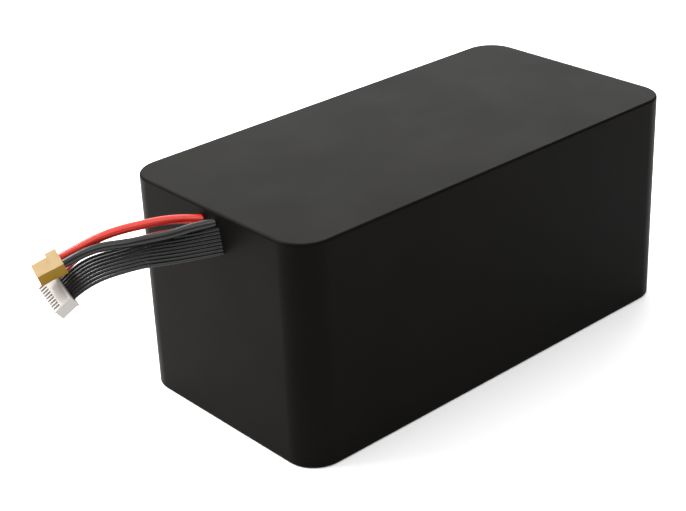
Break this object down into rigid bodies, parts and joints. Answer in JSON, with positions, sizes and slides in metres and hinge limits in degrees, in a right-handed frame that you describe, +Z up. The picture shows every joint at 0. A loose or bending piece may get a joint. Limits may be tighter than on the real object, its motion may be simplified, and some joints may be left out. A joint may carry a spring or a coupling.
{
  "type": "battery pack",
  "caption": "Rechargeable battery pack: cylindrical cells in a black shrink sleeve, with red and black main leads to a yellow plug and a white balance connector.",
  "frame": {"origin": "middle of the bottom face of the sleeve", "axes": "+Z up, +Y along the length away from the leads, +X across the width; the leads leave the -Y end near its top edge"},
  "size_m": [0.163, 0.42, 0.147],
  "materials": {
    "sleeve_film": "satin black shrink film",
    "glass_epoxy": "green glass-epoxy board",
    "barley_paper": "insulating paper",
    "holder_plastic": "moulded black plastic",
    "cell_can": "blue film on the can",
    "plated_busbar": "nickel-plated copper",
    "screw_steel": "zinc-plated steel",
    "bare_copper": "tinned at the crimp, bare copper elsewhere",
    "red_silicone": "soft red silicone",
    "black_silicone": "soft black silicone",
    "white_nylon": "natural white nylon",
    "tap_laminate": "blue circuit board",
    "sense_film": "amber flexible circuit",
    "yellow_nylon": "yellow nylon",
    "gold_contact": "gold-plated brass",
    "tinned_contact": "tin-plated bronze"
  },
  "bodies": {
    "root": {"outer_sleeve": "sleeve_film", "top_board": "glass_epoxy", "bottom_board": "glass_epoxy", "side_paper": "barley_paper", "upper_cell_holder": "holder_plastic", "lower_cell_holder": "holder_plastic", "cell_group_1": "cell_can", "cell_group_2": "cell_can", "cell_group_3": "cell_can", "cell_group_4": "cell_can", "cell_group_5": "cell_can", "cell_group_6": "cell_can", "cell_group_7": "cell_can", "cell_group_8": "cell_can", "positive_busbar": "plated_busbar", "upper_link_2_3": "plated_busbar", "upper_link_4_5": "plated_busbar", "upper_link_6_7": "plated_busbar", "negative_busbar": "plated_busbar", "lower_link_1_2": "plated_busbar", "lower_link_3_4": "plated_busbar", "lower_link_5_6": "plated_busbar", "lower_link_7_8": "plated_busbar", "upper_terminal_screws": "screw_steel", "lower_terminal_screws": "screw_steel", "upper_washers": "screw_steel", "lower_washers": "screw_steel", "positive_lug": "bare_copper", "negative_lug": "bare_copper", "positive_lead_inner": "red_silicone", "negative_lead_inner": "black_silicone", "lead_saddle": "white_nylon", "tap_board": "tap_laminate", "upper_sense_strip": "sense_film", "lower_sense_strip": "sense_film", "positive_lead": "red_silicone", "negative_lead": "black_silicone", "balance_wire_1": "red_silicone", "balance_wire_2": "black_silicone", "balance_wire_3": "black_silicone", "balance_wire_4": "black_silicone", "balance_wire_5": "black_silicone", "balance_wire_6": "black_silicone", "balance_wire_7": "black_silicone", "balance_wire_8": "black_silicone", "balance_wire_9": "black_silicone", "plug_housing": "yellow_nylon", "positive_contact": "gold_contact", "negative_contact": "gold_contact", "balance_housing": "white_nylon", "balance_contacts": "tinned_contact"}
  },
  "joints": []
}
